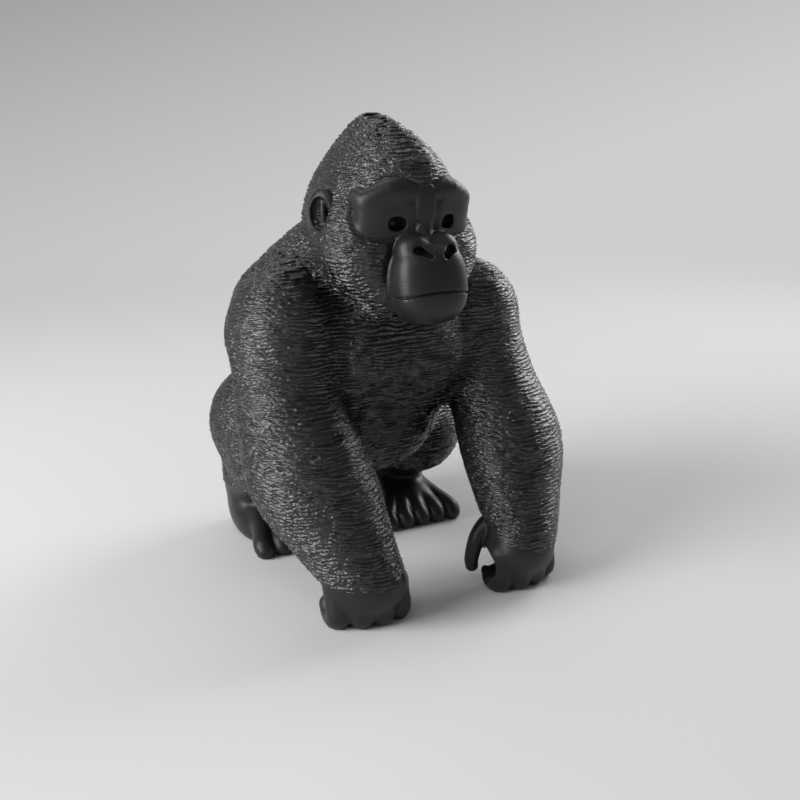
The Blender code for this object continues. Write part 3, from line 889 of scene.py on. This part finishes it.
class GORILLA_OT_arms(bpy.types.Operator):
    """Carves the furred arms down to the wrists."""

    bl_idname = "gorilla.arms"
    bl_label = "Arms"

    def execute(self, context):
        scene = context.scene
        both_sides("arm_fur", (0.0100, -0.060, 0.010), (0.0590, 0.042, 0.110),
                   shaper=shape_furred, step=FUR_STEP,
                   cuts=[(ends_at, in_arm), (ends_at, above_wrist)],
                   material=fur_plastic(scene.gorilla_colours), fur=scene.gorilla_sizes)
        return {"FINISHED"}


class GORILLA_OT_legs(bpy.types.Operator):
    """Carves the furred legs and hips down to the ankles."""

    bl_idname = "gorilla.legs"
    bl_label = "Legs"

    def execute(self, context):
        scene = context.scene
        both_sides("leg_fur", (LEG_SEAM - 0.0020, -0.020, 0.012), (0.0520, 0.076, 0.084),
                   shaper=shape_furred, step=FUR_STEP,
                   cuts=[(ends_at, in_leg), (dips_under, in_arm), (dips_under, in_chest),
                         (ends_at, above_ankle)],
                   material=fur_plastic(scene.gorilla_colours), fur=scene.gorilla_sizes)
        return {"FINISHED"}


class GORILLA_OT_face(bpy.types.Operator):
    """Models the bare face: mask, brows, nose, muzzle and mouth."""

    bl_idname = "gorilla.face"
    bl_label = "Face"

    def execute(self, context):
        def shaper(clay):
            shape_head(clay)
            shape_face(clay)

        carve("face", shaper, (-0.026, -0.044, 0.082), (0.026, -0.008, 0.136), FACE_STEP,
              [(ends_at, bare_face)], skin_plastic(context.scene.gorilla_colours))
        return {"FINISHED"}


def bare_face(x, y, z):
    """Where the face is bare: within a small margin of the face's own masses."""
    x = np.abs(x)
    middle = limb([(0, -0.0255, 0.1210, 0.0034), (0, -0.0262, BROW_HEIGHT - 0.0005, 0.0034)])
    grown = [mass.distance(x, y, z) for mass in [middle] + [mass for mass, soft in face_masses()]]
    return np.minimum.reduce(grown) - 0.0006


class GORILLA_OT_eyes(bpy.types.Operator):
    """Sets a glossy eyeball in each socket."""

    bl_idname = "gorilla.eyes"
    bl_label = "Eyes"

    def execute(self, context):
        radius = context.scene.gorilla_sizes.eyeball
        for side, sign in (("left", 1), ("right", -1)):
            around, down = np.meshgrid(np.linspace(0, 2 * np.pi, 32, endpoint=False),
                                       np.linspace(0, np.pi, 17)[1:-1], indexing="ij")
            centre = np.array((sign * EYE_SPREAD, EYE_Y + EYEBALL_INSET, EYE_HEIGHT))
            points, faces = closed_ball(centre, radius, around, down)
            mesh_piece("eye_" + side, points, faces, skin_plastic(context.scene.gorilla_colours))
        return {"FINISHED"}


def closed_ball(centre, radius, around, down):
    """A ball: centre + r (sin v cos u, sin v sin u, cos v), closed at its poles with small triangles."""
    columns, rows = around.shape
    body = np.stack([np.sin(down) * np.cos(around), np.sin(down) * np.sin(around), np.cos(down)], axis=-1)
    poles = centre + radius * np.array([(0, 0, 1), (0, 0, -1)])
    points = np.vstack([centre + radius * body.reshape(-1, 3), poles])
    column, row = np.meshgrid(np.arange(columns), np.arange(rows - 1), indexing="ij")
    after = (column + 1) % columns
    sides = np.stack([column * rows + row, column * rows + row + 1, after * rows + row + 1,
                      after * rows + row], axis=-1).reshape(-1, 4)
    line = np.arange(columns)
    after = (line + 1) % columns
    top = np.full(columns, columns * rows)
    caps = np.vstack([np.stack([top, line * rows, after * rows], axis=1),
                      np.stack([top + 1, after * rows + rows - 1, line * rows + rows - 1], axis=1)])
    triangles = np.vstack([sides[:, [0, 1, 2]], sides[:, [0, 2, 3]], caps])
    return points, triangles


class GORILLA_OT_ears(bpy.types.Operator):
    """Models the ears."""

    bl_idname = "gorilla.ears"
    bl_label = "Ears"

    def execute(self, context):
        both_sides("ear", (0.0140, -0.0120, 0.110), (0.0310, 0.0080, 0.132), shaper=shape_ear,
                   step=FACE_STEP, cuts=[], material=skin_plastic(context.scene.gorilla_colours))
        return {"FINISHED"}


class GORILLA_OT_hands(bpy.types.Operator):
    """Models the fists that the figure leans on."""

    bl_idname = "gorilla.hands"
    bl_label = "Hands"

    def execute(self, context):
        def shaper(clay):
            shape_arm(clay)
            shape_hand(clay)

        both_sides("hand", (0.0070, -0.0570, -0.0010), (0.0500, -0.0200, 0.0260), shaper=shaper,
                   step=SKIN_STEP, cuts=[(dips_under, hand_top)],
                   material=skin_plastic(context.scene.gorilla_colours))
        return {"FINISHED"}


def hand_top(x, y, z):
    """The wrist line, with the thumb's root left whole."""
    return above_wrist(x, y, z) + 0.004 * np.clip((0.0215 - np.abs(x)) / 0.003, 0, 1)


class GORILLA_OT_feet(bpy.types.Operator):
    """Models the bare feet."""

    bl_idname = "gorilla.feet"
    bl_label = "Feet"

    def execute(self, context):
        def shaper(clay):
            shape_leg(clay)
            shape_foot(clay)

        both_sides("foot", (0.0050, 0.0060, -0.0010), (0.0460, 0.0660, 0.0260), shaper=shaper,
                   step=SKIN_STEP, cuts=[(dips_under, above_ankle)],
                   material=skin_plastic(context.scene.gorilla_colours))
        return {"FINISHED"}


def backdrop_material(near, far, high):
    """Pale grey, lit by the lamps near the figure and a plain light tone further off.

    Far off, what the camera and the mirror rays see is an emission that fades with height, and somewhat to
    the left, from the far tone to the darker high one: painted shade, the top of the wall darker as if less
    light reached it. Other rays see the plain grey.
    """
    tree = Tree("sweep")
    place = tree.add("ShaderNodeTexCoord", output="Object")
    path = tree.add("ShaderNodeLightPath", output="Is Camera Ray")
    seen = path + Value(tree, path.socket.node.outputs["Is Glossy Ray"])
    # Painted shade: the glow darkens from the far tone to the high one upwards and to the left.
    rise = tree.add("ShaderNodeVectorMath", {"operation": "DOT_PRODUCT"}, {0: place, 1: (-0.26, 0.14, 1.0)},
                    output="Value")
    share = tree.add("ShaderNodeMapRange", {"clamp": True}, {0: rise, 1: 0.0, 2: 0.45, 3: 0.0, 4: 1.0})
    tone = tree.add("ShaderNodeMix", {"data_type": "RGBA"}, {0: share, 6: far, 7: high}, output=2)
    away = tree.add("ShaderNodeVectorMath", {"operation": "LENGTH"}, {0: place}, output="Value")
    fade = tree.add("ShaderNodeMapRange", {"clamp": True, "interpolation_type": "SMOOTHSTEP"},
                    {0: away, 1: 0.20, 2: 0.80, 3: 0.0, 4: 1.0})
    shader = tree.add("ShaderNodeBsdfPrincipled", inputs={"Base Color": near, "Roughness": 0.9,
                                                          "Specular IOR Level": 0.1})
    glow = tree.add("ShaderNodeEmission", inputs={"Color": tone})
    mixed = tree.add("ShaderNodeMixShader", inputs={0: fade * seen, 1: shader, 2: glow})
    tree.add("ShaderNodeOutputMaterial", inputs={"Surface": mixed})
    return tree.material


def sweep_mesh():
    """A strip square to the view: flat floor, a quarter circle, then a wall.

    At a length s along it, the bend is the angle (s - flat) / radius, kept between 0 and a quarter turn.
    """
    quarter = SWEEP_RADIUS * math.pi / 2
    along = np.linspace(0.0, SWEEP_FLAT + quarter + SWEEP_WALL, SWEEP_ROWS)
    bend = np.clip((along - SWEEP_FLAT) / SWEEP_RADIUS, 0, math.pi / 2)
    reach = np.minimum(along, SWEEP_FLAT) + SWEEP_RADIUS * np.sin(bend) - SWEEP_IN_FRONT
    rise = SWEEP_RADIUS * (1 - np.cos(bend)) + np.maximum(along - SWEEP_FLAT - quarter, 0)
    turn = math.radians(CAMERA_TURN)
    away = np.array((math.sin(turn), math.cos(turn)))
    across = np.array((math.cos(turn), -math.sin(turn)))
    rows = [np.column_stack([reach[:, None] * away + side * across, rise])
            for side in (-SWEEP_HALF_WIDTH, SWEEP_HALF_WIDTH)]
    points = np.stack(rows, axis=1).reshape(-1, 3)
    line = np.arange(SWEEP_ROWS - 1) * 2
    faces = np.stack([line, line + 1, line + 3, line + 2], axis=1)
    mesh = bpy.data.meshes.new("sweep")
    mesh.from_pydata(points.tolist(), [], faces.tolist())
    mesh.shade_smooth()
    return mesh


def add_lamp(scene, name, place, side, power):
    """A square panel that aims at the figure."""
    lamp = bpy.data.lights.new(name, "AREA")
    lamp.shape = "RECTANGLE"
    lamp.size = lamp.size_y = side
    lamp.energy = power
    holder = bpy.data.objects.new(name, lamp)
    holder.location = place
    holder.rotation_euler = (Vector(place) - Vector(LAMP_AIM)).to_track_quat("Z", "Y").to_euler()
    scene.collection.objects.link(holder)


def add_camera(scene):
    """The photograph's camera."""
    lens = bpy.data.cameras.new("camera")
    lens.sensor_width = SENSOR_WIDTH
    lens.lens = LENS
    lens.clip_start = 0.01
    camera = bpy.data.objects.new("camera", lens)
    turn, pitch = math.radians(CAMERA_TURN), math.radians(CAMERA_PITCH)
    back = Vector((-math.sin(turn) * math.cos(pitch), -math.cos(turn) * math.cos(pitch), math.sin(pitch)))
    camera.location = CAMERA_PLACE
    camera.rotation_euler = back.to_track_quat("Z", "Y").to_euler()
    scene.collection.objects.link(camera)
    scene.camera = camera


class GORILLA_OT_stage(bpy.types.Operator):
    """Sets up the sweep, the lamps, the world and the camera."""

    bl_idname = "gorilla.stage"
    bl_label = "Stage"

    def execute(self, context):
        scene = context.scene
        stage = scene.gorilla_stage
        mesh = sweep_mesh()
        mesh.materials.append(backdrop_material(tuple(stage.floor), tuple(stage.far), tuple(stage.high)))
        sweep = bpy.data.objects.new("sweep", mesh)
        scene.collection.objects.link(sweep)
        for name, (place, side) in LAMPS.items():
            add_lamp(scene, name + "_lamp", place, side, getattr(stage, name + "_power"))
        world = bpy.data.worlds.new("room")
        world.use_nodes = True
        background = world.node_tree.nodes["Background"]
        background.inputs["Color"].default_value = (1.0, 1.0, 1.0, 1.0)
        background.inputs["Strength"].default_value = stage.room
        scene.world = world
        add_camera(scene)
        scene.view_settings.view_transform = "Standard"
        return {"FINISHED"}


class GORILLA_PT_panel(bpy.types.Panel):
    """Lists the sizes, the colours and the steps."""

    bl_idname = "GORILLA_PT_panel"
    bl_label = "Gorilla figurine"
    bl_space_type = "VIEW_3D"
    bl_region_type = "UI"
    bl_category = "Figurine"

    def draw(self, context):
        for group_name, kind in GROUPS:
            box = self.layout.box()
            for name in kind.__annotations__:
                box.prop(getattr(context.scene, group_name), name)
        for operator in OPERATORS:
            self.layout.operator(operator.bl_idname)


OPERATORS = (GORILLA_OT_head_fur, GORILLA_OT_trunk, GORILLA_OT_arms, GORILLA_OT_legs, GORILLA_OT_face,
             GORILLA_OT_eyes, GORILLA_OT_ears, GORILLA_OT_hands, GORILLA_OT_feet, GORILLA_OT_stage)
GROUPS = (("gorilla_sizes", GorillaSizes), ("gorilla_colours", GorillaColours),
          ("gorilla_stage", GorillaStage))


def register():
    """Registers the classes and hangs the settings on the scene."""
    for name, group in GROUPS:
        bpy.utils.register_class(group)
        setattr(bpy.types.Scene, name, bpy.props.PointerProperty(type=group))
    for operator in OPERATORS:
        bpy.utils.register_class(operator)
    bpy.utils.register_class(GORILLA_PT_panel)


def unregister():
    """Takes the classes and settings away again."""
    bpy.utils.unregister_class(GORILLA_PT_panel)
    for operator in reversed(OPERATORS):
        bpy.utils.unregister_class(operator)
    for name, group in reversed(GROUPS):
        delattr(bpy.types.Scene, name)
        bpy.utils.unregister_class(group)


def main():
    """Registers the classes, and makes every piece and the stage."""
    register()
    for operator in OPERATORS:
        family, step = operator.bl_idname.split(".")
        getattr(getattr(bpy.ops, family), step)()


if __name__ == "__main__":
    main()
